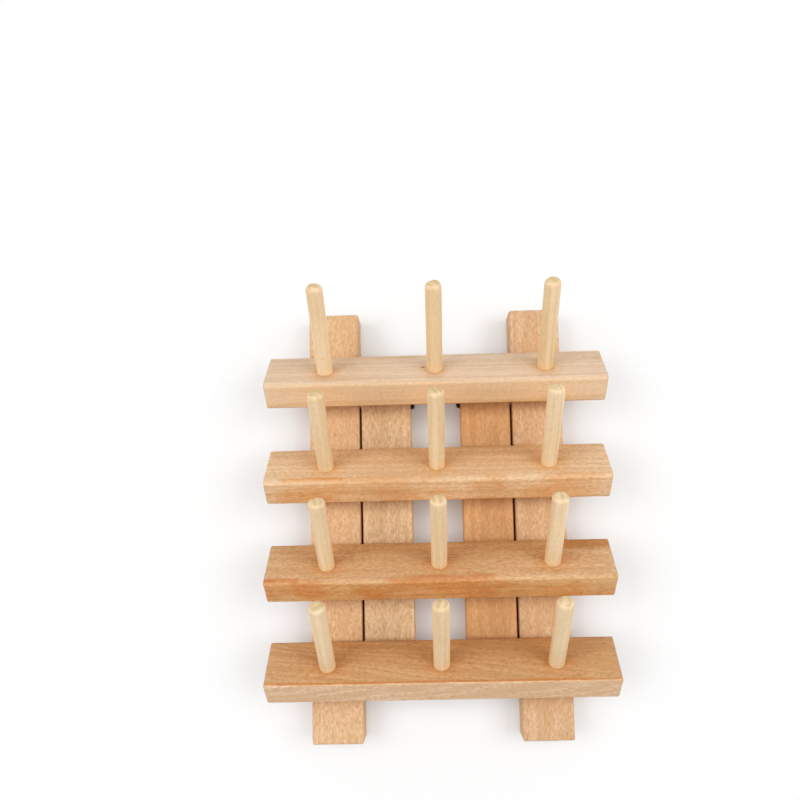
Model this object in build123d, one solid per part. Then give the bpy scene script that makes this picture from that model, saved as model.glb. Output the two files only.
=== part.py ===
from build123d import *
from math import cos, radians, sin
import os

# A folding wooden rack for thread spools, lying flat with both legs folded in between its rails.
# Millimetres. +Z is up, +X runs along the crossbars, and +Y runs along the rails to the end that
# the pegs lean towards. The origin is the middle of the rack's box, on the table.
# Crossbar 1 is the one nearest the +Y end. Left is -X.

# Wood stock, shared by the rails, the crossbars and the width of the legs
STOCK_WIDTH = 26.0
STOCK_THICKNESS = 14.5
EDGE_EASE = 0.9

# Side rails
RAIL_LENGTH = 222.5
WIDTH_OVER_RAILS = 132.5

# Crossbars: the stock is turned about its length, and its lowest corner is cut flat for a seat
BAR_LENGTH = 172.5
BAR_TILT = 45.0
BAR_SEAT_WIDTH = 13.7
RAIL_TOP_END_TO_BAR_1 = 33.7
RAIL_LOW_END_TO_LAST_BAR = 41.8
WORN_TOP_EDGE_ROUND = 2.2
CRISP_TOP_EDGE_ROUND = 0.8
BAR_SIDE_EDGE_ROUND = 1.2
BAR_END_EASE = 0.5

# Pegs, whose thinner feet are glued in blind holes in the wide upper face of each crossbar.
# They are all of one length, and are glued in to depths that differ from bar to bar.
PEG_DIAMETER = 8.0
PEG_LENGTH = 57.0
BAR_1_PEGS_SUNK = 9.0
BAR_2_PEGS_SUNK = 11.0
BAR_3_PEGS_SUNK = 12.5
BAR_4_PEGS_SUNK = 10.0
PEG_TIP_ROUND = 3.2
PEG_FOOT_TURNED_DOWN = 0.4
PEG_FOOT_CHAMFER = 0.6
PEG_FROM_TOP_EDGE = 10.8
OUTER_PEG_OUTBOARD = 2.7
PEG_GLUE_GAP = 0.04
PEG_HOLE_SPARE = 0.5

# Legs, folded flush between the rails
LEG_THICKNESS = 12.5
LEG_TO_RAIL = 1.0
LEG_TO_TABLE = 0.5
LEG_PAST_PIVOT = 14.0
LEG_PAST_LAST_SEAT = 4.0
PIVOT_BELOW_BAR_1_SEAT = 12.8
LEG_OPEN_ANGLE = 45.0
LEG_STOP_GAP = 0.1

# Pivot screws, driven through the legs into the rails, and the washer between leg and rail
PIVOT_SCREW_DIAMETER = 4.0
PIVOT_SCREW_LENGTH = 45.0
PIVOT_HEAD_DIAMETER = 8.2
PIVOT_HEAD_HEIGHT = 2.0
PIVOT_HEAD_ROUND = 1.5
PIVOT_RUNNING_FIT = 0.08
PIVOT_END_PLAY = 0.1
WASHER_DIAMETER = 9.5
WASHER_BORE_FIT = 0.15

# Screws that hold the crossbars, driven up through the rails
BAR_SCREW_DIAMETER = 3.5
BAR_SCREW_GRIP = 8.0
BAR_SCREW_HEAD_DIAMETER = 7.0
BAR_SCREW_HEAD_HEIGHT = 2.1
BAR_SCREW_HEAD_SUNK = 0.3
BAR_SCREW_INBOARD = 6.0

# Details that both kinds of screw share
SCREW_POINT_LENGTH = 3.5
SCREW_POINT_BLUNT = 0.3
SCREW_HOLE_SPARE = 0.6
SCREW_THREAD_FIT = 0.03
RECESS_SPAN = 3.8
RECESS_SLOT = 0.9
RECESS_DEPTH = 1.2
RECESS_FLOOR_SPAN = 1.4

CUT_OVERRUN = 1.0

SIDES = {"left": -1, "right": 1}
PEG_ROWS = {"left": -1, "middle": 0, "right": 1}

# The crossbars in turn, from crossbar 1: how deep the pegs go, and how round the top edge is
CROSSBARS = (
    (BAR_1_PEGS_SUNK, WORN_TOP_EDGE_ROUND),
    (BAR_2_PEGS_SUNK, WORN_TOP_EDGE_ROUND),
    (BAR_3_PEGS_SUNK, WORN_TOP_EDGE_ROUND),
    (BAR_4_PEGS_SUNK, CRISP_TOP_EDGE_ROUND),
)

# How a cylinder, cone or box is set on its origin: standing on it or hanging from it
STANDING = (Align.CENTER, Align.CENTER, Align.MIN)
HANGING = (Align.CENTER, Align.CENTER, Align.MAX)

# Places that follow from the sizes above
TILT_SIN = sin(radians(BAR_TILT))
TILT_COS = cos(radians(BAR_TILT))

RAIL_X = (WIDTH_OVER_RAILS - STOCK_WIDTH) / 2
RAIL_INNER_X = WIDTH_OVER_RAILS / 2 - STOCK_WIDTH
LEG_OUTER_X = RAIL_INNER_X - LEG_TO_RAIL
LEG_X = LEG_OUTER_X - STOCK_WIDTH / 2
LEG_INNER_X = LEG_OUTER_X - STOCK_WIDTH
PEG_SPACING = RAIL_X + OUTER_PEG_OUTBOARD
BAR_SCREW_X = RAIL_X - BAR_SCREW_INBOARD
PEG_FOOT_RADIUS = (PEG_DIAMETER - PEG_FOOT_TURNED_DOWN) / 2

# The crossbar's section, measured in Y and Z from the middle of its seat
CORNER_CUT = BAR_SEAT_WIDTH * TILT_SIN * TILT_COS
TOP_EDGE_Z = STOCK_THICKNESS * TILT_COS + STOCK_WIDTH * TILT_SIN - CORNER_CUT
LOW_CORNER_FROM_TOP_EDGE_Y = STOCK_WIDTH * TILT_COS - STOCK_THICKNESS * TILT_SIN
SEAT_FRONT_FROM_LOW_CORNER_Y = CORNER_CUT * TILT_SIN / TILT_COS
SEAT_BACK_FROM_LOW_CORNER_Y = CORNER_CUT * TILT_COS / TILT_SIN
SEAT_MIDDLE_FROM_LOW_CORNER_Y = (SEAT_FRONT_FROM_LOW_CORNER_Y - SEAT_BACK_FROM_LOW_CORNER_Y) / 2
TOP_EDGE_Y = -LOW_CORNER_FROM_TOP_EDGE_Y - SEAT_MIDDLE_FROM_LOW_CORNER_Y
PEG_BASE_Y = TOP_EDGE_Y + PEG_FROM_TOP_EDGE * TILT_COS
PEG_BASE_Z = TOP_EDGE_Z - PEG_FROM_TOP_EDGE * TILT_SIN

# How far the rounded tips of crossbar 1's pegs reach past their bases in Y
PEG_TIP_REACH_Y = (
    (PEG_LENGTH - BAR_1_PEGS_SUNK - PEG_TIP_ROUND) * TILT_SIN
    + (PEG_DIAMETER / 2 - PEG_TIP_ROUND) * TILT_COS
    + PEG_TIP_ROUND
)

# The box's length is the rails' own, or more where the first crossbar's pegs lean past their end
BAR_1_FROM_LOW_END = RAIL_LENGTH - RAIL_TOP_END_TO_BAR_1
BAR_PITCH = (BAR_1_FROM_LOW_END - RAIL_LOW_END_TO_LAST_BAR) / (len(CROSSBARS) - 1)
OVERALL_LENGTH = max(RAIL_LENGTH, BAR_1_FROM_LOW_END + PEG_BASE_Y + PEG_TIP_REACH_Y)
RAIL_LOW_END_Y = -OVERALL_LENGTH / 2
SEATS_Y = [
    RAIL_LOW_END_Y + BAR_1_FROM_LOW_END - index * BAR_PITCH
    for index in range(len(CROSSBARS))
]

PIVOT_Y = SEATS_Y[0] - PIVOT_BELOW_BAR_1_SEAT
PIVOT_Z = LEG_TO_TABLE + LEG_THICKNESS / 2
LEG_FOOT_Y = SEATS_Y[-1] - LEG_PAST_LAST_SEAT


def crossbar_outline(top_edge_round):
    """Section of a crossbar in Y and Z: a turned rectangle with its lowest corner cut flat."""
    top = Vector(TOP_EDGE_Y, TOP_EDGE_Z)
    narrow_side = Vector(-TILT_SIN, -TILT_COS) * STOCK_THICKNESS
    wide_side = Vector(TILT_COS, -TILT_SIN) * STOCK_WIDTH
    corners = [
        top,
        top + narrow_side,
        Vector(-BAR_SEAT_WIDTH / 2, 0),
        Vector(BAR_SEAT_WIDTH / 2, 0),
        top + wide_side,
    ]
    outline = make_face(Polyline(*corners, close=True))
    outline = fillet(outline.vertices().sort_by(Axis.Y)[-1], top_edge_round)
    outline = fillet(outline.vertices().sort_by(Axis.X)[0], BAR_SIDE_EDGE_ROUND)
    return fillet(outline.vertices().sort_by(Axis.X)[-1], BAR_SIDE_EDGE_ROUND)


def peg_plane(x):
    """Plane on a crossbar's wide face at the foot of a peg, facing along the peg."""
    return Plane(origin=(x, PEG_BASE_Y, PEG_BASE_Z), x_dir=(1, 0, 0), z_dir=(0, TILT_SIN, TILT_COS))


def crossbar(pegs_sunk, top_edge_round):
    """A crossbar with the middle of its seat at the origin, drilled for its pegs and screws."""
    bar = extrude(Plane.YZ * crossbar_outline(top_edge_round), BAR_LENGTH / 2, both=True)
    for end in (bar.faces().sort_by(Axis.X)[0], bar.faces().sort_by(Axis.X)[-1]):
        bar = chamfer(bar.edges().filter_by(lambda edge: edge in end.edges()), BAR_END_EASE)
    peg_hole_depth = pegs_sunk + PEG_HOLE_SPARE
    peg_hole = Cylinder(PEG_FOOT_RADIUS + PEG_GLUE_GAP, peg_hole_depth + CUT_OVERRUN, align=HANGING)
    for row in PEG_ROWS.values():
        bar -= peg_plane(row * PEG_SPACING) * Pos(0, 0, CUT_OVERRUN) * peg_hole
    screw_hole_radius = BAR_SCREW_DIAMETER / 2 + SCREW_THREAD_FIT
    screw_hole_depth = BAR_SCREW_GRIP + SCREW_HOLE_SPARE
    screw_hole = Cylinder(screw_hole_radius, screw_hole_depth + CUT_OVERRUN, align=STANDING)
    screw_hole = Pos(0, 0, -CUT_OVERRUN) * screw_hole
    for side in SIDES.values():
        bar -= Pos(side * BAR_SCREW_X, 0, 0) * screw_hole
    return bar


def peg(sunk):
    """A peg standing on the origin, with its rounded tip above and its thinner foot below."""
    shaft = Cylinder(PEG_DIAMETER / 2, PEG_LENGTH - sunk, align=STANDING)
    tip_rim = shaft.edges().filter_by(GeomType.CIRCLE).sort_by(Axis.Z)[-1]
    foot = Cylinder(PEG_FOOT_RADIUS, sunk, align=HANGING)
    foot_rim = foot.edges().filter_by(GeomType.CIRCLE).sort_by(Axis.Z)[0]
    return fillet(tip_rim, PEG_TIP_ROUND) + chamfer(foot_rim, PEG_FOOT_CHAMFER)


def screw_shank(diameter, length):
    """A screw's shank, from its head at the origin down to a blunted point."""
    straight = length - SCREW_POINT_LENGTH
    shank = Cylinder(diameter / 2, straight, align=HANGING)
    point = Cone(SCREW_POINT_BLUNT, diameter / 2, SCREW_POINT_LENGTH, align=HANGING)
    return shank + Pos(0, 0, -straight) * point


def cross_recess():
    """The driver recess in a screw head: a cross that narrows to its floor, open at the origin."""
    height = RECESS_DEPTH + CUT_OVERRUN
    cross = Box(RECESS_SPAN * 2, RECESS_SLOT, height, align=STANDING)
    cross += Box(RECESS_SLOT, RECESS_SPAN * 2, height, align=STANDING)
    flare = (RECESS_SPAN - RECESS_FLOOR_SPAN) / 2 * CUT_OVERRUN / RECESS_DEPTH
    funnel = Cone(RECESS_FLOOR_SPAN / 2, RECESS_SPAN / 2 + flare, height, align=STANDING)
    return Pos(0, 0, -RECESS_DEPTH) * (cross & funnel)


def pivot_plane(side, x):
    """Plane across a leg's pivot at a distance x from the middle, facing the middle."""
    return Plane(origin=(side * x, PIVOT_Y, PIVOT_Z), x_dir=(0, 1, 0), z_dir=(-side, 0, 0))


def pivot_hole(side, outer_x, inner_x, clearance):
    """A round hole on a leg's pivot, from a distance outer_x from the middle in to inner_x."""
    hole = Cylinder(PIVOT_SCREW_DIAMETER / 2 + clearance, outer_x - inner_x, align=STANDING)
    return pivot_plane(side, outer_x) * hole


def side_rail(side):
    """A side rail with a sunk screw hole under each crossbar and a blind hole at its leg's pivot."""
    rail = Box(STOCK_WIDTH, RAIL_LENGTH, STOCK_THICKNESS, align=(Align.CENTER, Align.MIN, Align.MIN))
    rail = Pos(side * RAIL_X, RAIL_LOW_END_Y, 0) * fillet(rail.edges(), EDGE_EASE)
    for seat_y in SEATS_Y:
        rail -= Pos(side * BAR_SCREW_X, seat_y, 0) * bar_screw_hole()
    tip_x = LEG_INNER_X - PIVOT_END_PLAY + PIVOT_SCREW_LENGTH
    mouth_x = RAIL_INNER_X - CUT_OVERRUN
    return rail - pivot_hole(side, tip_x + SCREW_HOLE_SPARE, mouth_x, SCREW_THREAD_FIT)


def bar_screw_hole():
    """The hole through a rail for a crossbar's screw, with its countersink open below the rail."""
    head_radius = BAR_SCREW_HEAD_DIAMETER / 2 + SCREW_THREAD_FIT
    shank_radius = BAR_SCREW_DIAMETER / 2 + SCREW_THREAD_FIT
    mouth = Cylinder(head_radius, CUT_OVERRUN + BAR_SCREW_HEAD_SUNK, align=STANDING)
    sink = Cone(head_radius, shank_radius, BAR_SCREW_HEAD_HEIGHT, align=STANDING)
    through = Cylinder(shank_radius, STOCK_THICKNESS + CUT_OVERRUN, align=STANDING)
    return Pos(0, 0, -CUT_OVERRUN) * mouth + Pos(0, 0, BAR_SCREW_HEAD_SUNK) * sink + through


def bar_screw():
    """A countersunk screw under a crossbar, upright, with the rail's underside at the origin."""
    face = Plane(origin=(0, 0, BAR_SCREW_HEAD_SUNK), z_dir=(0, 0, -1))
    length = STOCK_THICKNESS + BAR_SCREW_GRIP - BAR_SCREW_HEAD_SUNK
    head_radius = BAR_SCREW_HEAD_DIAMETER / 2
    head = Cone(BAR_SCREW_DIAMETER / 2, head_radius, BAR_SCREW_HEAD_HEIGHT, align=HANGING)
    return face * (head + screw_shank(BAR_SCREW_DIAMETER, length) - cross_recess())


def leg(side):
    """A leg, bored at its pivot, with a bevel that meets crossbar 1's seat when it is fully open."""
    bottom = LEG_TO_TABLE
    top = LEG_TO_TABLE + LEG_THICKNESS
    end = PIVOT_Y + LEG_PAST_PIVOT
    open_sin = sin(radians(LEG_OPEN_ANGLE))
    open_cos = cos(radians(LEG_OPEN_ANGLE))
    stop = STOCK_THICKNESS - PIVOT_Z - LEG_STOP_GAP
    bevel_top_y = PIVOT_Y + (stop - (top - PIVOT_Z) * open_cos) / open_sin
    bevel_end_z = PIVOT_Z + (stop - LEG_PAST_PIVOT * open_sin) / open_cos
    corners = [
        (LEG_FOOT_Y, bottom),
        (end, bottom),
        (end, bevel_end_z),
        (bevel_top_y, top),
        (LEG_FOOT_Y, top),
    ]
    outline = Plane.YZ * make_face(Polyline(*corners, close=True))
    bar = Pos(side * LEG_X, 0, 0) * extrude(outline, STOCK_WIDTH / 2, both=True)
    bar = fillet(bar.edges().filter_by(Axis.Y), EDGE_EASE)
    outer_x = LEG_OUTER_X + CUT_OVERRUN
    return bar - pivot_hole(side, outer_x, LEG_INNER_X - CUT_OVERRUN, PIVOT_RUNNING_FIT)


def pivot_screw(side):
    """The round-headed screw that a leg turns on: head against the leg, point in the rail."""
    head = Cylinder(PIVOT_HEAD_DIAMETER / 2, PIVOT_HEAD_HEIGHT, align=STANDING)
    head = fillet(head.edges().filter_by(GeomType.CIRCLE).sort_by(Axis.Z)[-1], PIVOT_HEAD_ROUND)
    head -= Pos(0, 0, PIVOT_HEAD_HEIGHT) * cross_recess()
    screw = head + screw_shank(PIVOT_SCREW_DIAMETER, PIVOT_SCREW_LENGTH)
    return pivot_plane(side, LEG_INNER_X - PIVOT_END_PLAY) * screw


def pivot_washer(side):
    """The washer that keeps a leg off its rail, flat against the rail."""
    thickness = LEG_TO_RAIL - PIVOT_END_PLAY
    ring = Cylinder(WASHER_DIAMETER / 2, thickness, align=STANDING)
    ring -= Cylinder(PIVOT_SCREW_DIAMETER / 2 + WASHER_BORE_FIT, thickness, align=STANDING)
    return pivot_plane(side, RAIL_INNER_X) * ring


def save(piece, name):
    """Write one piece of the rack to its own file."""
    piece.label = name
    export_step(piece, f"parts/{name}.step")


os.makedirs("parts", exist_ok=True)

for side_name, side in SIDES.items():
    save(side_rail(side), f"side_rail_{side_name}")
    save(leg(side), f"leg_{side_name}")
    save(pivot_screw(side), f"pivot_screw_{side_name}")
    save(pivot_washer(side), f"pivot_washer_{side_name}")

for number, (pegs_sunk, top_edge_round) in enumerate(CROSSBARS, start=1):
    bar_place = Pos(0, SEATS_Y[number - 1], STOCK_THICKNESS)
    save(bar_place * crossbar(pegs_sunk, top_edge_round), f"crossbar_{number}")
    for row_name, row in PEG_ROWS.items():
        placed_peg = bar_place * (peg_plane(row * PEG_SPACING) * peg(pegs_sunk))
        save(placed_peg, f"peg_{number}_{row_name}")

bar_screws = [
    Pos(side * BAR_SCREW_X, seat_y, 0) * bar_screw()
    for seat_y in SEATS_Y
    for side in SIDES.values()
]
save(Compound(children=bar_screws), "crossbar_screws")

print("overall", BAR_LENGTH, OVERALL_LENGTH, "pitch", BAR_PITCH, "peg spacing", PEG_SPACING)
print("seats", SEATS_Y, "pegs", PEG_BASE_Y, STOCK_THICKNESS + PEG_BASE_Z)
print("pivot", LEG_X, PIVOT_Y, PIVOT_Z)
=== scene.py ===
import bpy
import math
import numpy as np
from mathutils import Matrix, Vector


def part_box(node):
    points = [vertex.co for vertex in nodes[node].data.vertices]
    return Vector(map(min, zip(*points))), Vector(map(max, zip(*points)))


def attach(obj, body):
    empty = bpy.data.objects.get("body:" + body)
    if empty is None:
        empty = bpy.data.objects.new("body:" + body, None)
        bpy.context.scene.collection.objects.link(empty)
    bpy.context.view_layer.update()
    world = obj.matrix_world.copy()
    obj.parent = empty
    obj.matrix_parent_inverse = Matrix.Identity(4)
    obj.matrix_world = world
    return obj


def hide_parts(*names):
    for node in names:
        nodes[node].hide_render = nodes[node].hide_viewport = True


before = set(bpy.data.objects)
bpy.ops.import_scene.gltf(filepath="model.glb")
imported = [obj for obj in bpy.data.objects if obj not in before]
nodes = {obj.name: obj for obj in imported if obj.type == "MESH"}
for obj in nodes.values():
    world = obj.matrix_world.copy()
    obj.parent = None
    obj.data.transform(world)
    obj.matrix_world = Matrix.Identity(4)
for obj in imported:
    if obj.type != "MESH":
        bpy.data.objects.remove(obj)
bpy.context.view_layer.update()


# ---- Side rails -----------------------------------------------------------------------------------
# Two straight beech strips that lie on the table and carry everything else. They are planed on four
# sides, sawn off square and only lightly eased along their edges, with no oil or varnish on them.

MM = 0.001


def shade(red, green, blue):
    """A colour picked on a screen, 0 to 255, as the linear light that a shader socket takes."""
    parts = np.array([red, green, blue]) / 255
    linear = np.where(parts > 0.04045, ((parts + 0.055) / 1.055) ** 2.4, parts / 12.92)
    return (*linear.tolist(), 1.0)


def deepened(colour, share):
    """Wood of that colour where it is darker. Red, green and blue are each multiplied by the share
    raised to a power of their own, the lowest for red, so that the dark marks are also warmer."""
    powers = (0.85, 1.42, 2.3)
    return (*(part * share ** power for part, power in zip(colour, powers)), 1.0)


def put(tree, kind, inputs=None, **settings):
    """One node in a shader tree. inputs holds its sockets by name or number, each a plain value or
    another node's output."""
    made = tree.nodes.new(kind)
    for field, value in settings.items():
        setattr(made, field, value)
    for place, value in (inputs or {}).items():
        if isinstance(value, bpy.types.NodeSocket):
            tree.links.new(value, made.inputs[place])
        else:
            made.inputs[place].default_value = value
    return made


def reckon(tree, operation, *values):
    """The result of one Math node."""
    return put(tree, "ShaderNodeMath", dict(enumerate(values)), operation=operation).outputs[0]


def stretch(tree, value, low, high):
    """value taken from the range low to high onto 0 to 1, eased at both ends."""
    made = put(tree, "ShaderNodeMapRange", {"Value": value, "From Min": low, "From Max": high},
               interpolation_type="SMOOTHSTEP")
    return made.outputs["Result"]


def cloud(tree, place, size, detail=2.0, shift=(0.0, 0.0, 0.0)):
    """Noise whose lumps are size = (x, y, z) millimetres long, at a place given in millimetres."""
    turned = put(tree, "ShaderNodeVectorMath",
                 {0: place, 1: tuple(1 / s for s in size), 2: shift}, operation="MULTIPLY_ADD")
    made = put(tree, "ShaderNodeTexNoise",
               {"Vector": turned.outputs[0], "Scale": 1.0, "Detail": detail, "Roughness": 0.55})
    return made


def blend_colours(tree, share, first, second, kind="MIX"):
    """Two colours mixed: share 0 is the first and 1 the second."""
    made = put(tree, "ShaderNodeMix", data_type="RGBA", blend_type=kind)
    for place, value in ((0, share), (6, first), (7, second)):
        if isinstance(value, bpy.types.NodeSocket):
            tree.links.new(value, made.inputs[place])
        else:
            made.inputs[place].default_value = value
    return made.outputs[2]


def sawn_wood():
    """Solid wood as it grows, for a board in its own millimetres with the grain along Z and the heart
    of the tree at X 0, Y 0. A yearly ring is a step in the distance from the heart, which wanders
    slowly. A ray is a thin sheet that runs straight out from the heart: a short dark fleck on a
    flat-sawn face, a wide patch on a quarter-sawn one and a fine line on a sawn end."""
    tree = bpy.data.node_groups.new("sawn_wood", "ShaderNodeTree")
    for name, kind, value in (
        ("Board", "NodeSocketVector", (0, 0, 0)),
        ("Sawn End", "NodeSocketFloat", 0.0),
        ("Early Wood", "NodeSocketColor", (0.7, 0.5, 0.3, 1)),
        ("Late Wood", "NodeSocketColor", (0.5, 0.3, 0.2, 1)),
        ("Ray", "NodeSocketColor", (0.4, 0.2, 0.1, 1)),
        ("Ring Width", "NodeSocketFloat", 3.0),
        ("Ring Depth", "NodeSocketFloat", 0.4),
        ("Streak Depth", "NodeSocketFloat", 0.3),
        ("Fibre Depth", "NodeSocketFloat", 0.55),
        ("Ray Depth", "NodeSocketFloat", 0.5),
        ("Wander", "NodeSocketFloat", 4.0),
        ("End Tint", "NodeSocketColor", (0.82, 0.76, 0.72, 1)),
    ):
        tree.interface.new_socket(name=name, in_out="INPUT", socket_type=kind).default_value = value
    for name, kind in (("Color", "NodeSocketColor"), ("Roughness", "NodeSocketFloat"),
                       ("Height", "NodeSocketFloat")):
        tree.interface.new_socket(name=name, in_out="OUTPUT", socket_type=kind)
    given = put(tree, "NodeGroupInput").outputs
    board = given["Board"]

    # The rings wander off true circles in slow lumps that are longest along the grain.
    wander = cloud(tree, board, (24, 24, 110), 1.0)
    centred = put(tree, "ShaderNodeVectorMath", {0: wander.outputs["Color"], 1: (0.5, 0.5, 0.5)},
                  operation="SUBTRACT")
    wandered = put(tree, "ShaderNodeVectorMath", {0: centred.outputs[0], "Scale": given["Wander"]},
                   operation="SCALE")
    grown = put(tree, "ShaderNodeVectorMath", {0: board, 1: wandered.outputs[0]}, operation="ADD")
    part = put(tree, "ShaderNodeSeparateXYZ", {0: grown.outputs[0]}).outputs
    outwards = reckon(tree, "SQRT", reckon(tree, "ADD", reckon(tree, "MULTIPLY", part[0], part[0]),
                                          reckon(tree, "MULTIPLY", part[1], part[1])))
    round_at = 45.0  # how far from the heart, in millimetres, the way round it is measured
    around = reckon(tree, "MULTIPLY", reckon(tree, "ARCTAN2", part[1], part[0]), round_at)
    growth = put(tree, "ShaderNodeCombineXYZ", {0: around, 1: outwards, 2: part[2]}).outputs[0]

    # Good and lean years change the rings' width. The late wood grows as the cube of the season and
    # ends with the year, which brings it to about 1 when three quarters of the year are over.
    uneven_years, late_peak = 2.2, 9.5
    years = cloud(tree, growth, (600, 7, 900), 1.0).outputs["Fac"]
    age = reckon(tree, "ADD", reckon(tree, "DIVIDE", outwards, given["Ring Width"]),
                 reckon(tree, "MULTIPLY", years, uneven_years))
    season = reckon(tree, "FRACT", age)
    late = reckon(tree, "MULTIPLY", reckon(tree, "POWER", season, 3.0),
                  reckon(tree, "MULTIPLY", reckon(tree, "SUBTRACT", 1.0, season), late_peak))

    # Rays are thin round the heart and longer outwards and along the grain. Streaks run with the
    # grain, patches are broad and slow, and fibres are the fine speckle of the pores.
    ray = stretch(tree, cloud(tree, growth, (0.65, 1.1, 3.2), 1.5).outputs["Fac"], 0.52, 0.74)
    streak = stretch(tree, cloud(tree, board, (2.2, 2.2, 60), 3.0).outputs["Fac"], 0.34, 0.66)
    patch = stretch(tree, cloud(tree, board, (26, 26, 60), 1.0, (7, 3, 5)).outputs["Fac"], 0.32, 0.68)
    fibre = stretch(tree, cloud(tree, board, (0.95, 0.95, 1.9), 2.5).outputs["Fac"], 0.3, 0.7)

    end_rings = 0.35  # how much stronger the rings show on a sawn end
    streak_part, patch_part = 0.5, 0.6
    across = reckon(tree, "ADD", given["Ring Depth"],
                    reckon(tree, "MULTIPLY", given["Sawn End"], end_rings))
    depth = reckon(tree, "ADD", reckon(tree, "MULTIPLY", late, across),
                   reckon(tree, "MULTIPLY", given["Streak Depth"],
                          reckon(tree, "ADD", reckon(tree, "MULTIPLY", streak, streak_part),
                                 reckon(tree, "MULTIPLY", patch, patch_part))))
    depth = reckon(tree, "ADD", depth, reckon(tree, "MULTIPLY", fibre, given["Fibre Depth"]))
    body = blend_colours(tree, reckon(tree, "MINIMUM", depth, 1.0), given["Early Wood"],
                         given["Late Wood"])
    flecked = blend_colours(tree, reckon(tree, "MULTIPLY", ray, given["Ray Depth"]), body,
                            given["Ray"])
    ended = blend_colours(tree, given["Sawn End"], flecked,
                          blend_colours(tree, 1.0, flecked, given["End Tint"], "MULTIPLY"))

    planed_rough, fibre_rough, end_rough = 0.5, 0.12, 0.2
    rough = reckon(tree, "ADD", planed_rough, reckon(tree, "MULTIPLY", fibre, fibre_rough))
    rough = reckon(tree, "ADD", rough, reckon(tree, "MULTIPLY", given["Sawn End"], end_rough))
    # Fibres stand up and rays sink by the same amount.
    half = 0.5
    height = reckon(tree, "SUBTRACT", reckon(tree, "MULTIPLY", fibre, half),
                    reckon(tree, "MULTIPLY", ray, half))
    put(tree, "NodeGroupOutput", {"Color": ended, "Roughness": rough, "Height": height})
    return tree


def stain_and_painted_light_band():
    """Wood tinted in a band that runs along the grain, between two distances across the board in
    millimetres from its middle. A band serves for a real stain, and also for painted light and painted
    shade on one face. A patch is also held between two distances along the board. Its sides waver by
    Waver, and where it is Broken it fades in and out along the board."""
    tree = bpy.data.node_groups.new("stain_and_painted_light_band", "ShaderNodeTree")
    for name, kind, value in (
        ("Color", "NodeSocketColor", (0.5, 0.5, 0.5, 1)),
        ("Board", "NodeSocketVector", (0, 0, 0)),
        ("Across", "NodeSocketFloat", 0.0),
        ("Tint", "NodeSocketColor", (1, 1, 1, 1)),
        ("Start", "NodeSocketFloat", 0.0),
        ("End", "NodeSocketFloat", 0.0),
        ("Soft", "NodeSocketFloat", 0.5),
        ("Waver", "NodeSocketFloat", 0.0),
        ("Broken", "NodeSocketFloat", 0.0),
        ("Along From", "NodeSocketFloat", -500.0),
        ("Along To", "NodeSocketFloat", 500.0),
    ):
        tree.interface.new_socket(name=name, in_out="INPUT", socket_type=kind).default_value = value
    tree.interface.new_socket(name="Color", in_out="OUTPUT", socket_type="NodeSocketColor")
    given = put(tree, "NodeGroupInput").outputs
    ends_waver = 3.0  # how many times further a patch's ends waver than its sides
    drift = cloud(tree, given["Board"], (9, 9, 22), 3.0).outputs["Fac"]
    drift = reckon(tree, "SUBTRACT", drift, 0.5)
    here = reckon(tree, "ADD", given["Across"], reckon(tree, "MULTIPLY", drift, given["Waver"]))

    def between(place, start, end):
        """1 between the two distances and 0 outside. Each edge is about twice the Soft distance
        wide, with the given distance in its middle."""
        shares = []
        for run in (reckon(tree, "SUBTRACT", place, start), reckon(tree, "SUBTRACT", end, place)):
            run = reckon(tree, "DIVIDE", run, reckon(tree, "MULTIPLY", given["Soft"], 2.0))
            shares.append(stretch(tree, run, -0.6, 0.6))
        return reckon(tree, "MULTIPLY", *shares)

    length = put(tree, "ShaderNodeSeparateXYZ", {0: given["Board"]}).outputs[2]
    length = reckon(tree, "MULTIPLY_ADD", drift,
                    reckon(tree, "MULTIPLY", given["Waver"], ends_waver), length)
    inside = reckon(tree, "MULTIPLY", between(here, given["Start"], given["End"]),
                    between(length, given["Along From"], given["Along To"]))
    gaps = stretch(tree, cloud(tree, given["Board"], (14, 14, 34), 2.0, (3, 1, 8)).outputs["Fac"],
                   0.42, 0.56)
    held = reckon(tree, "SUBTRACT", 1.0, reckon(tree, "MULTIPLY", given["Broken"],
                                                reckon(tree, "SUBTRACT", 1.0, gaps)))
    share = reckon(tree, "MAXIMUM", 0.0, reckon(tree, "MULTIPLY", inside, held))
    tinted = blend_colours(tree, 1.0, given["Color"], given["Tint"], "MULTIPLY")
    put(tree, "NodeGroupOutput", {"Color": blend_colours(tree, share, given["Color"], tinted)})
    return tree


def painted_corner_shade():
    """Painted shade for wood in a corner: a deeper, redder tone than on the open faces, which stands in
    for the shade and the light bounced off nearby wood there. Open is 1 on a free face and falls
    towards 0 where other wood closes in over it."""
    tree = bpy.data.node_groups.new("painted_corner_shade", "ShaderNodeTree")
    for name, kind, value in (("Color", "NodeSocketColor", (0.5, 0.5, 0.5, 1)),
                              ("Open", "NodeSocketFloat", 1.0),
                              ("Tint", "NodeSocketColor", (0.93, 0.72, 0.48, 1))):
        tree.interface.new_socket(name=name, in_out="INPUT", socket_type=kind).default_value = value
    tree.interface.new_socket(name="Color", in_out="OUTPUT", socket_type="NodeSocketColor")
    given = put(tree, "NodeGroupInput").outputs
    first_felt, fully_felt = 0.04, 0.50  # how closed in a place is where the painted shade starts and is full
    share = stretch(tree, reckon(tree, "SUBTRACT", 1.0, given["Open"]), first_felt, fully_felt)
    deep = blend_colours(tree, 1.0, given["Color"], given["Tint"], "MULTIPLY")
    put(tree, "NodeGroupOutput", {"Color": blend_colours(tree, share, given["Color"], deep)})
    return tree


SHADE_PAINT_REACH = 45 * MM  # how near other wood must be for the painted corner shade to fall on a face
LATE_SHARE, RAY_SHARE = 0.76, 0.60  # how deep late wood and rays are beside the early wood
END_FROM, END_TO = 0.6, 0.9  # how squarely a face looks along the grain where its end look sets in
GRAIN_RELIEF = 0.1 * MM
BARE_WOOD_SHINE = 0.35


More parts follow.
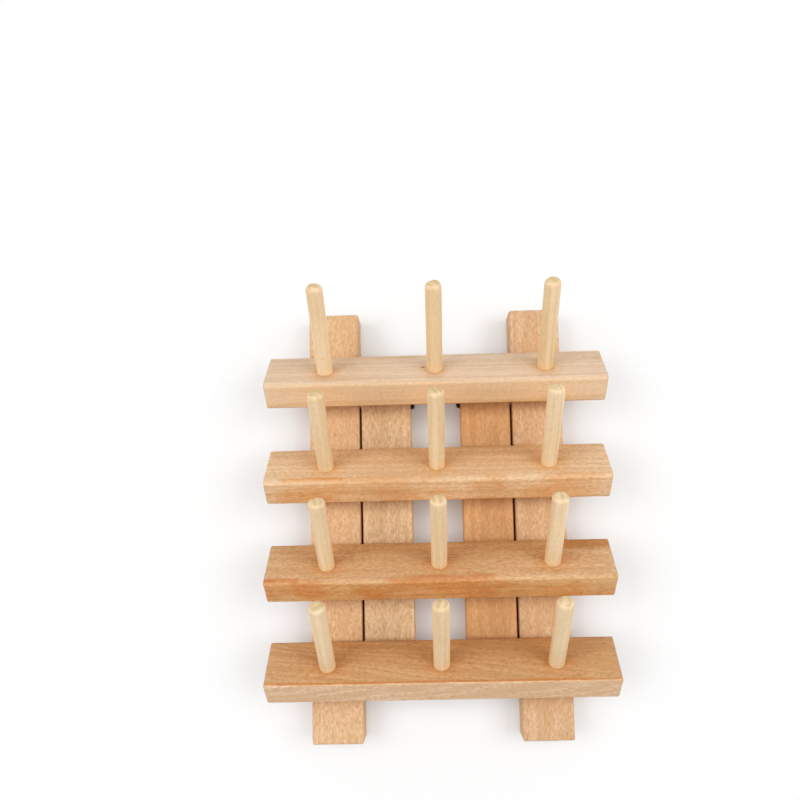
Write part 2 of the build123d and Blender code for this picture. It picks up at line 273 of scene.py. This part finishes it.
def wooden(name, grain, across, middle, from_heart, turn, values, relief=0.25, bands=(),
           corner_shade_tint=(0.97, 0.92, 0.85, 1)):
    """A wood finish for one board. grain is the direction of its length and across that of its width.
    middle is the board's middle in metres. The heart of the tree was from_heart millimetres away,
    turn degrees round from the width. values are the sawn wood's own, and bands those of each tinted
    band in turn. The pattern's place is turned so that the board's grain lies along Z, and moved out
    from the heart. A face is a sawn end where it looks along the grain."""
    length = Vector(grain).normalized()
    width = Vector(across).normalized()
    grown_width = (width - width.dot(length) * length).normalized()
    axes = Matrix((grown_width, length.cross(grown_width), length))
    made = bpy.data.materials.new(name)
    made.use_nodes = True
    tree = made.node_tree
    tree.nodes.clear()
    place = put(tree, "ShaderNodeTexCoord").outputs
    heart = Vector((math.cos(math.radians(turn)), math.sin(math.radians(turn)), 0)) * from_heart
    board = put(tree, "ShaderNodeMapping", {"Vector": place["Object"]})
    board.inputs["Scale"].default_value = (1 / MM,) * 3
    board.inputs["Rotation"].default_value = axes.to_euler("XYZ")
    board.inputs["Location"].default_value = heart - axes @ Vector(middle) / MM
    facing = put(tree, "ShaderNodeVectorMath", {0: place["Normal"], 1: length},
                 operation="DOT_PRODUCT")
    end = stretch(tree, reckon(tree, "ABSOLUTE", facing.outputs["Value"]), END_FROM, END_TO)
    wood = put(tree, "ShaderNodeGroup", node_tree=bpy.data.node_groups["sawn_wood"])
    tree.links.new(board.outputs[0], wood.inputs["Board"])
    tree.links.new(end, wood.inputs["Sawn End"])
    early = values["Early Wood"]
    colours = {"Late Wood": deepened(early, LATE_SHARE), "Ray": deepened(early, RAY_SHARE)}
    for socket, value in {**colours, **values}.items():
        wood.inputs[socket].default_value = value
    colour = wood.outputs["Color"]
    over = put(tree, "ShaderNodeVectorMath", {0: place["Object"], 1: width / MM},
               operation="DOT_PRODUCT")
    over = reckon(tree, "SUBTRACT", over.outputs["Value"], width.dot(Vector(middle)) / MM)
    for band in bands:
        tinted_band = put(tree, "ShaderNodeGroup", node_tree=bpy.data.node_groups["stain_and_painted_light_band"])
        tree.links.new(colour, tinted_band.inputs["Color"])
        tree.links.new(board.outputs[0], tinted_band.inputs["Board"])
        tree.links.new(over, tinted_band.inputs["Across"])
        for socket, value in band.items():
            tinted_band.inputs[socket].default_value = value
        colour = tinted_band.outputs["Color"]
    # Painted shade: the colour turns deeper and redder where other wood closes in over a face.
    open_to = put(tree, "ShaderNodeAmbientOcclusion", {"Distance": SHADE_PAINT_REACH}, samples=12)
    corner = put(tree, "ShaderNodeGroup", node_tree=bpy.data.node_groups["painted_corner_shade"])
    tree.links.new(colour, corner.inputs["Color"])
    corner.inputs["Tint"].default_value = corner_shade_tint
    tree.links.new(open_to.outputs["AO"], corner.inputs["Open"])
    colour = corner.outputs["Color"]
    bump = put(tree, "ShaderNodeBump", {"Strength": relief, "Distance": GRAIN_RELIEF,
                                        "Height": wood.outputs["Height"]})
    surface = put(tree, "ShaderNodeBsdfPrincipled",
                  {"Base Color": colour, "Roughness": wood.outputs["Roughness"],
                   "Normal": bump.outputs[0], "Specular IOR Level": BARE_WOOD_SHINE})
    put(tree, "ShaderNodeOutputMaterial", {"Surface": surface.outputs[0]})
    return made


def dress(node, material):
    """Gives a piece this finish all over."""
    nodes[node].data.materials.clear()
    nodes[node].data.materials.append(material)


def middle_of(node):
    """The middle of a piece's box."""
    low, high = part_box(node)
    return (low + high) / 2


sawn_wood()
stain_and_painted_light_band()
painted_corner_shade()
ALONG_RACK = (0, 1, 0)
ACROSS_RACK = (1, 0, 0)
dress("side_rail_left", wooden(
    "rail_beech_left", ALONG_RACK, ACROSS_RACK, middle_of("side_rail_left"), 62, 80,
    {"Early Wood": shade(237, 204, 168),
     "Ring Width": 3.4, "Ring Depth": 0.3, "Streak Depth": 0.5, "Fibre Depth": 0.7, "Ray Depth": 0.85,
     "Wander": 5.0}))
dress("side_rail_right", wooden(
    "rail_beech_right", ALONG_RACK, ACROSS_RACK, middle_of("side_rail_right"), 55, 100,
    {"Early Wood": shade(230, 196, 162),
     "Ring Width": 2.8, "Ring Depth": 0.3, "Streak Depth": 0.5, "Fibre Depth": 0.7, "Ray Depth": 0.85,
     "Wander": 5.0}))


# ---- Crossbars ------------------------------------------------------------------------------------
# Four beech bars of the rails' own stock, each turned 45 degrees about its length so that its wide face
# leans back. The lowest corner is planed flat as a seat, where the bar is screwed down on the rails.

TOWARDS_TOP_EDGE = Vector((0, -math.sqrt(0.5), math.sqrt(0.5)))
# From the low corner of a bar's box to the middle of its stock.
CORNER_TO_MIDDLE = Vector((86.25, 13.82, 7.47)) * MM
EDGE = 13.0  # half the wide face, in millimetres
# The painted shade in a bar's corners, deeper and redder than on the rails and legs.
BAR_CORNER_SHADE_TINT = (0.93, 0.72, 0.48, 1)
# Each bar's bands are painted light on its narrow face, which is made lighter where the light from the
# front falls on it and on the rounded top edge, the stains along its top edge, and the nick, streak or
# dark corner on its wide face. Bar 3's dark corner is painted shade at the back of its wide face, where
# the next bar closes in over it.
for number, from_heart, turn, slope, values, bands in (
    (1, 38, 200, 0.0,
     {"Early Wood": shade(228, 204, 179),
      "Ring Width": 4.4, "Ring Depth": 0.3, "Streak Depth": 0.35, "Fibre Depth": 0.3, "Ray Depth": 0.24,
      "Wander": 5.0},
     ({"Tint": (1.17, 1.15, 1.07, 1), "Start": EDGE - 0.6, "End": EDGE + 9, "Soft": 0.4},
      {"Tint": (0.55, 0.40, 0.30, 1), "Start": -0.7, "End": 0.9, "Soft": 0.5, "Waver": 2.0,
       "Along From": -7.2, "Along To": -5.0},
      {"Tint": (0.93, 0.84, 0.75, 1), "Start": -9.0, "End": -3.0, "Soft": 1.2, "Waver": 6.0,
       "Broken": 1.0, "Along From": 40.0})),
    (2, 60, 125, 0.0,
     {"Early Wood": shade(237, 209, 177),
      "Ring Width": 3.0, "Ring Depth": 0.3, "Streak Depth": 0.5, "Ray Depth": 0.58, "Wander": 5.0},
     ({"Tint": (1.12, 1.13, 1.12, 1), "Start": EDGE - 0.6, "End": EDGE + 9, "Soft": 0.4},
      {"Tint": (0.95, 0.80, 0.66, 1), "Start": EDGE - 3.0, "End": EDGE + 0.5, "Soft": 1.2, "Waver": 6.0,
       "Broken": 1.0},
      {"Tint": (0.97, 0.78, 0.58, 1), "Start": EDGE - 3.0, "End": EDGE - 0.7, "Soft": 0.7, "Waver": 4.0,
       "Along From": -78.0, "Along To": -46.0})),
    (3, 52, 118, 0.0,
     {"Early Wood": shade(223, 188, 150),
      "Ring Width": 3.2, "Ring Depth": 0.3, "Streak Depth": 0.5, "Fibre Depth": 0.7, "Ray Depth": 0.85,
      "Wander": 6.0},
     ({"Tint": (1.16, 1.16, 1.04, 1), "Start": EDGE - 0.6, "End": EDGE + 9, "Soft": 0.5},
      {"Tint": (0.93, 0.70, 0.52, 1), "Start": EDGE - 3.5, "End": EDGE + 0.6, "Soft": 1.0, "Waver": 9.0,
       "Broken": 1.0},
      {"Tint": (0.90, 0.62, 0.40, 1), "Start": EDGE - 3.2, "End": EDGE - 0.8, "Soft": 0.6, "Waver": 3.0,
       "Along To": -70.0},
      # Painted shade, darker towards the back edge of the wide face at its right end.
      {"Tint": (0.84, 0.66, 0.44, 1), "Start": -EDGE - 9, "End": -7.0, "Soft": 1.8, "Waver": 5.0,
       "Along From": 60.0})),
    (4, 44, 155, 0.13,
     {"Early Wood": shade(218, 180, 138),
      "Ring Width": 3.7, "Ring Depth": 0.5, "Streak Depth": 0.6, "Fibre Depth": 0.7, "Ray Depth": 0.8,
      "Wander": 13.0},
     ({"Tint": (0.97, 0.68, 0.44, 1), "Start": EDGE - 1.7, "End": EDGE - 0.6, "Soft": 0.4, "Waver": 1.2,
       "Broken": 0.5},
      {"Tint": (1.31, 1.49, 1.93, 1), "Start": EDGE - 0.5, "End": EDGE + 9, "Soft": 0.3})),
):
    node = f"crossbar_{number}"
    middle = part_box(node)[0] + CORNER_TO_MIDDLE
    grain = Vector(ACROSS_RACK) + slope * TOWARDS_TOP_EDGE
    dress(node, wooden(f"bar_beech_{number}", grain, TOWARDS_TOP_EDGE, middle, from_heart, turn,
                       values, bands=bands, corner_shade_tint=BAR_CORNER_SHADE_TINT))


# ---- Crossbar screws ------------------------------------------------------------------------------
# Plain steel countersunk screws that come up through the rails into each bar's seat. The rack hides
# them unless it is turned over.


def metal(name, colour, metallic, rough, scale, relief):
    """Bare or painted metal. Its tone and gloss are worn in patches of that scale in millimetres, and
    fine drawn lines run across the rack."""
    made = bpy.data.materials.new(name)
    made.use_nodes = True
    tree = made.node_tree
    tree.nodes.clear()
    place = put(tree, "ShaderNodeTexCoord").outputs["Object"]
    inside = put(tree, "ShaderNodeVectorMath", {0: place, "Scale": 1 / MM}, operation="SCALE")
    inside = inside.outputs[0]
    worn = stretch(tree, cloud(tree, inside, (scale,) * 3, 3.0).outputs["Fac"], 0.35, 0.65)
    lines = cloud(tree, inside, (2.5, 0.12, 0.12), 1.0).outputs["Fac"]
    worn_tone, worn_share, worn_rough, line_depth = 0.55, 0.5, 0.15, 0.02 * MM
    tone = blend_colours(tree, reckon(tree, "MULTIPLY", worn, worn_share), colour,
                         tuple(worn_tone * c for c in colour[:3]) + (1,))
    gloss = reckon(tree, "ADD", rough, reckon(tree, "MULTIPLY", worn, worn_rough))
    bump = put(tree, "ShaderNodeBump", {"Strength": relief, "Distance": line_depth, "Height": lines})
    surface = put(tree, "ShaderNodeBsdfPrincipled",
                  {"Base Color": tone, "Roughness": gloss, "Metallic": metallic,
                   "Normal": bump.outputs[0]})
    put(tree, "ShaderNodeOutputMaterial", {"Surface": surface.outputs[0]})
    return made


plain_steel = metal("plain_steel", shade(190, 188, 184), 1.0, 0.3, 1.5, 0.4)
dress("crossbar_screws", plain_steel)


# ---- Pegs -----------------------------------------------------------------------------------------
# Twelve lengths of pale 8 mm dowel, three to a bar, glued into holes square to the wide face. Their
# tips are rounded over on a sander, each a little differently, and nothing is put on the wood.

PEG_RADIUS = 4.0 * MM
FOOT_RADIUS = 3.8 * MM
FOOT_BEVEL = 0.6 * MM
TIP_ROUND = 3.2 * MM
PEG_LENGTH = 57.0 * MM
PEG_SUNK = {1: 9.0 * MM, 2: 11.0 * MM, 3: 12.5 * MM, 4: 10.0 * MM}  # in the bar of that number
STEP_FROM, STEP_TO = 0.3 * MM, 0.25 * MM  # how far inside the hole the foot's step starts and ends
TIP_LOSS = (0.2 * MM, 0.5 * MM)  # the least and most that one wave of sanding takes off a tip
TIP_PULL = 0.10  # how much the sanding also narrows the tip, for each millimetre taken off
OUT_OF_ROUND = 0.006
PEG_AXIS = np.array((0, math.sqrt(0.5), math.sqrt(0.5)))
SIDEWAYS = np.array((1.0, 0.0, 0.0))
AROUND, WALL_ROWS, TIP_ROWS = 72, 40, 13  # points round the rod, and rows up its wall and its tip


def dowel(name, foot, sunk, chance):
    """A round rod from foot along PEG_AXIS. Its radius is one profile: the foot, a small step at the
    bar's face, the straight wall, and a quarter circle at the tip. At the tip each point of the circle
    sinks by three slow waves round the rod, so that the sanded dome is a little lopsided. Out of the
    bar the rod is also a trace oval."""
    straight = PEG_LENGTH - TIP_ROUND
    foot_run = np.array((0.0, FOOT_BEVEL, 0.5 * sunk, sunk - STEP_FROM))
    foot_radius = np.array((FOOT_RADIUS - FOOT_BEVEL, FOOT_RADIUS, FOOT_RADIUS, FOOT_RADIUS))
    wall_run = np.linspace(sunk - STEP_TO, straight, WALL_ROWS)
    quarter = np.linspace(0.0, math.pi / 2, TIP_ROWS + 1)[1:]
    tip_run = straight + TIP_ROUND * np.sin(quarter)
    tip_radius = PEG_RADIUS - TIP_ROUND * (1 - np.cos(quarter))
    flat_radius = tip_radius[-1] * np.array((0.66, 0.33))  # two rings on the small flat at the very tip
    run = np.concatenate((foot_run, wall_run, tip_run, np.full(len(flat_radius), PEG_LENGTH)))
    radius = np.concatenate((foot_radius, np.full(WALL_ROWS, PEG_RADIUS), tip_radius, flat_radius))

    angle = np.linspace(0, 2 * math.pi, AROUND, endpoint=False)
    phase = chance.uniform(0, 2 * math.pi, 3)
    depth = chance.uniform(*TIP_LOSS, 3)
    lean = sum(d * (1 + np.cos(k * angle + p)) / 2 for k, d, p in zip((1, 2, 3), depth, phase))
    before = 0.5 * MM  # the sanding starts this far before the round
    near_tip = np.clip((run - (straight - before)) / (TIP_ROUND + before), 0, 1) ** 2
    closing = np.clip(radius / PEG_RADIUS, 0, 1)[:, None]
    drop = near_tip[:, None] * (lean.mean() * (1 - closing) + lean[None, :] * closing)
    pull = 1 - TIP_PULL * near_tip[:, None] * (lean[None, :] - lean.min()) / MM
    along = run[:, None] - drop
    oval = 1 - OUT_OF_ROUND * (1 + np.sin(2 * angle + phase[0]))[None, :] / 2
    out = radius[:, None] * pull * np.where(run[:, None] > sunk, oval, 1.0)
    other = np.cross(PEG_AXIS, SIDEWAYS)
    points = (foot + along[..., None] * PEG_AXIS
              + out[..., None] * (np.cos(angle)[None, :, None] * SIDEWAYS
                                  + np.sin(angle)[None, :, None] * other))
    poles = np.array((foot, foot + along[-1].mean() * PEG_AXIS))
    return rod_mesh(name, points, poles)


def rod_mesh(name, points, poles):
    """A closed skin over a grid of points, rows from foot to tip and columns around, with one point at
    each pole. Every grid square is a face, and a fan of triangles closes each end."""
    rows, columns = points.shape[:2]
    count = rows * columns
    this, following = np.arange(columns), (np.arange(columns) + 1) % columns
    start = np.arange(rows - 1)[:, None] * columns
    squares = np.stack((start + this, start + following, start + columns + following,
                        start + columns + this), axis=-1).reshape(-1, 4)
    foot_fan = np.stack((np.full(columns, count), following, this), axis=-1)
    tip_fan = np.stack((np.full(columns, count + 1), count - columns + this,
                        count - columns + following), axis=-1)
    mesh = bpy.data.meshes.new(name)
    mesh.from_pydata(np.vstack((points.reshape(-1, 3), poles)).tolist(), [],
                     squares.tolist() + foot_fan.tolist() + tip_fan.tolist())
    mesh.polygons.foreach_set("use_smooth", np.ones(len(mesh.polygons), bool))
    made = bpy.data.objects.new(name, mesh)
    bpy.context.scene.collection.objects.link(made)
    return made


peg_wood = wooden(
    "dowel_wood", PEG_AXIS, SIDEWAYS, (0, 0, 0), 90, 30,
    {"Early Wood": shade(251, 227, 189),
     "Ring Width": 3.0, "Ring Depth": 0.2, "Streak Depth": 0.5, "Ray Depth": 0.15, "Fibre Depth": 0.2,
     "Wander": 6.0, "End Tint": (0.84, 0.86, 0.82, 1)},
    # The peg's corner tint is painted shade where the bar and the other pegs close in.
    relief=0.15, corner_shade_tint=(0.97, 0.92, 0.83, 1))

sanding = np.random.default_rng(5)
# The foot's lowest point is the rim of its bevel, and its middle lies up and back from there.
RIM = (FOOT_RADIUS - FOOT_BEVEL) * math.sqrt(0.5)
for bar, sunk in PEG_SUNK.items():
    for side in ("left", "middle", "right"):
        node = f"peg_{bar}_{side}"
        low, high = (np.array(corner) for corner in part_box(node))
        centre_x = (low[0] + high[0]) / 2
        foot = np.array((centre_x, low[1] + RIM, low[2] + RIM))
        peg = dowel(f"dowel_{bar}_{side}", foot, sunk, sanding)
        peg.data.materials.append(peg_wood)
        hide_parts(node)
        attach(peg, "frame")


# ---- Legs -----------------------------------------------------------------------------------------
# Two more beech strips that fold up flush between the rails. Each turns on one screw near the first bar
# and swings down to prop the rack up. The right one is cut from redder wood.

dress("leg_left", wooden(
    "leg_beech_left", ALONG_RACK, ACROSS_RACK, middle_of("leg_left"), 66, 75,
    {"Early Wood": shade(237, 208, 172),
     "Ring Width": 3.0, "Ring Depth": 0.3, "Streak Depth": 0.2, "Fibre Depth": 0.75, "Ray Depth": 0.85,
     "Wander": 6.0}))
dress("leg_right", wooden(
    "leg_beech_right", ALONG_RACK, ACROSS_RACK, middle_of("leg_right"), 58, 95,
    {"Early Wood": shade(231, 183, 133),
     "Ring Width": 2.6, "Ring Depth": 0.3, "Streak Depth": 0.5, "Ray Depth": 0.42, "Wander": 5.0}))


# ---- Pivot screws and washers ---------------------------------------------------------------------
# A black round-headed screw goes through each leg into its rail, and the leg turns on it. A thin plain
# washer keeps the two strips apart.

black_steel = metal("black_steel", shade(34, 33, 34), 0.6, 0.38, 1.2, 0.3)
for side in ("left", "right"):
    dress(f"pivot_screw_{side}", black_steel)
    dress(f"pivot_washer_{side}", plain_steel)


# ---- Floor, light and camera ----------------------------------------------------------------------
# A plain white table under four big soft lamps: one overhead, a brighter one at each side and a faint
# one behind. The camera hangs over the rack, a little towards its low end.

FLOOR_BELOW = 0.2 * MM
FLOOR_HALF = 4.0
SHADE_REACH = 0.16  # how near the rack must be to dim the floor, in metres
SHADE_FALL, SHADE_DEPTH = 2.4, 1.66  # how fast the dimming fades off, and how deep it is
SHADE_TINT = shade(147, 135, 125)
LEG_REACH = 0.14  # how far below the floor a lowered leg is looked for, in metres
LEG_CLEARS = 9.0  # the floor is clear where one ray in this many meets the leg
BOARD_WHITE = (0.92, 0.92, 0.92, 1)
BOARD_SHARE = 0.58  # how much of the board itself shows close to the rack
BOARD_FROM, BOARD_TO = 0.105, 0.16  # how far out the board fades into the white, in metres
mesh = bpy.data.meshes.new("floor")
corners = np.array(((-1, -1, 0), (1, -1, 0), (1, 1, 0), (-1, 1, 0))) * FLOOR_HALF
corners = corners - (0, 0, FLOOR_BELOW)
mesh.from_pydata(corners.tolist(), [], [(0, 1, 2, 3)])
floor = bpy.data.objects.new("floor", mesh)
bpy.context.scene.collection.objects.link(floor)
white = bpy.data.materials.new("floor_white")
white.use_nodes = True
tree = white.node_tree
tree.nodes.clear()
ray = put(tree, "ShaderNodeLightPath").outputs
# What the camera sees is the white behind the floor, with a painted shadow that dims it where the rack
# closes in over it. All other light meets a plain pale board.
shut_in = put(tree, "ShaderNodeAmbientOcclusion", {"Distance": SHADE_REACH}, samples=32)
closed = reckon(tree, "POWER", reckon(tree, "SUBTRACT", 1.0, shut_in.outputs["AO"]), SHADE_FALL)
closed = reckon(tree, "MINIMUM", reckon(tree, "MULTIPLY", closed, SHADE_DEPTH), 1.0)
open_share = reckon(tree, "SUBTRACT", 1.0, closed)
painted_shadow = blend_colours(tree, open_share, SHADE_TINT, (1, 1, 1, 1))
# A leg that swings down passes through the table. The floor is left clear over it, so that it shows.
underneath = put(tree, "ShaderNodeAmbientOcclusion", {"Distance": LEG_REACH}, samples=24,
                 inside=True)
leg_below = reckon(tree, "SUBTRACT", 1.0, underneath.outputs["AO"])
leg_below = reckon(tree, "MINIMUM", reckon(tree, "MULTIPLY", leg_below, LEG_CLEARS), 1.0)
painted_shadow = blend_colours(tree, leg_below, painted_shadow, (1, 1, 1, 1))
behind = put(tree, "ShaderNodeBsdfTransparent", {"Color": painted_shadow})
clear = put(tree, "ShaderNodeBsdfTransparent", {"Color": (1, 1, 1, 1)})
board = put(tree, "ShaderNodeBsdfDiffuse", {"Color": BOARD_WHITE})
# Close round the rack, part of what shows is the board itself, with the lamps' own shadows on it. That
# place is an oval, a quarter longer along the rack than across it.
place = put(tree, "ShaderNodeTexCoord").outputs["Object"]
away = put(tree, "ShaderNodeVectorMath", {0: place, 1: (1.0, 0.8, 1.0)}, operation="MULTIPLY")
away = put(tree, "ShaderNodeVectorMath", {0: away.outputs[0]}, operation="LENGTH").outputs["Value"]
near = reckon(tree, "SUBTRACT", 1.0, stretch(tree, away, BOARD_FROM, BOARD_TO))
near = reckon(tree, "MULTIPLY", near, BOARD_SHARE)
near = reckon(tree, "MULTIPLY", near, reckon(tree, "SUBTRACT", 1.0, leg_below))
seen = put(tree, "ShaderNodeMixShader", {0: near, 1: behind.outputs[0], 2: board.outputs[0]})
# Lamplight reaches a lowered leg through the floor, and so does light that comes from under it.
from_below = put(tree, "ShaderNodeNewGeometry").outputs["Backfacing"]
let_through = reckon(tree, "MAXIMUM", ray["Is Shadow Ray"], from_below)
lamp_side = put(tree, "ShaderNodeMixShader",
                {0: let_through, 1: board.outputs[0], 2: clear.outputs[0]})
both = put(tree, "ShaderNodeMixShader", {0: ray["Is Camera Ray"], 1: lamp_side.outputs[0],
                                         2: seen.outputs[0]})
put(tree, "ShaderNodeOutputMaterial", {"Surface": both.outputs[0]})
floor.data.materials.append(white)


def soft_lamp(name, place, side, watts):
    """A square lamp of that side, in metres, that faces the middle of the table."""
    lamp = bpy.data.lights.new(name, "AREA")
    lamp.shape = "SQUARE"
    lamp.size = side
    lamp.energy = watts
    made = bpy.data.objects.new(name, lamp)
    made.location = place
    made.rotation_euler = (-Vector(place)).to_track_quat("-Z", "Y").to_euler()
    bpy.context.scene.collection.objects.link(made)


soft_lamp("lamp_above", (0.0, 0.1, 1.3), 0.9, 2.5)
soft_lamp("lamp_left", (-0.86, 0.06, 0.95), 0.8, 8.6)
soft_lamp("lamp_right", (0.86, 0.06, 0.95), 0.8, 8.6)
soft_lamp("lamp_behind", (0.0, 1.05, 0.42), 0.5, 1.1)

# The room gives a soft fill from the upper half, and shows as plain white to the eye and in gloss.
ROOM_FILL = 0.27
world = bpy.data.worlds.new("studio")
bpy.context.scene.world = world
world.use_nodes = True
tree = world.node_tree
tree.nodes.clear()
ray = put(tree, "ShaderNodeLightPath").outputs
direction = put(tree, "ShaderNodeTexCoord").outputs["Generated"]
direction = put(tree, "ShaderNodeSeparateXYZ", {0: direction})
upper = reckon(tree, "GREATER_THAN", direction.outputs[2], 0.0)
fill = put(tree, "ShaderNodeBackground",
           {"Color": (1, 1, 1, 1), "Strength": reckon(tree, "MULTIPLY", upper, ROOM_FILL)})
seen = put(tree, "ShaderNodeBackground", {"Color": (1, 1, 1, 1), "Strength": 1.0})
shown = reckon(tree, "MAXIMUM", ray["Is Camera Ray"], ray["Is Glossy Ray"])
both = put(tree, "ShaderNodeMixShader", {0: shown, 1: fill.outputs[0], 2: seen.outputs[0]})
put(tree, "ShaderNodeOutputWorld", {"Surface": both.outputs[0]})

# The camera's turn round the rack, its height over the table and its roll, in degrees, with the point
# that it faces and its distance from there.
CAMERA_TURN, CAMERA_HEIGHT, CAMERA_ROLL = (math.radians(a) for a in (10.515, 84.535, -11.828))
AIM = np.array((-8.829, 26.429, 15.067)) * MM
AWAY = 367.829 * MM
SENSOR, LENS = 36.0, 31.737
SHIFT_X, SHIFT_Y = -0.025, 0.0875
NEAREST, FARTHEST = 0.01, 20.0
back = np.array((math.sin(CAMERA_TURN) * math.cos(CAMERA_HEIGHT),
                 -math.cos(CAMERA_TURN) * math.cos(CAMERA_HEIGHT), math.sin(CAMERA_HEIGHT)))
right = np.array((math.cos(CAMERA_TURN), math.sin(CAMERA_TURN), 0))
up = np.cross(back, right)
picture_right = right * math.cos(CAMERA_ROLL) + up * math.sin(CAMERA_ROLL)
picture_up = up * math.cos(CAMERA_ROLL) - right * math.sin(CAMERA_ROLL)
camera = bpy.data.objects.new("camera", bpy.data.cameras.new("camera"))
bpy.context.scene.collection.objects.link(camera)
turned = Matrix(np.stack((picture_right, picture_up, back), axis=1).tolist()).to_4x4()
camera.matrix_world = Matrix.Translation(AIM + back * AWAY) @ turned
camera.data.sensor_width = SENSOR
camera.data.lens = LENS
camera.data.shift_x = SHIFT_X
camera.data.shift_y = SHIFT_Y
camera.data.clip_start = NEAREST
camera.data.clip_end = FARTHEST
bpy.context.scene.camera = camera
bpy.context.scene.view_settings.view_transform = "Standard"
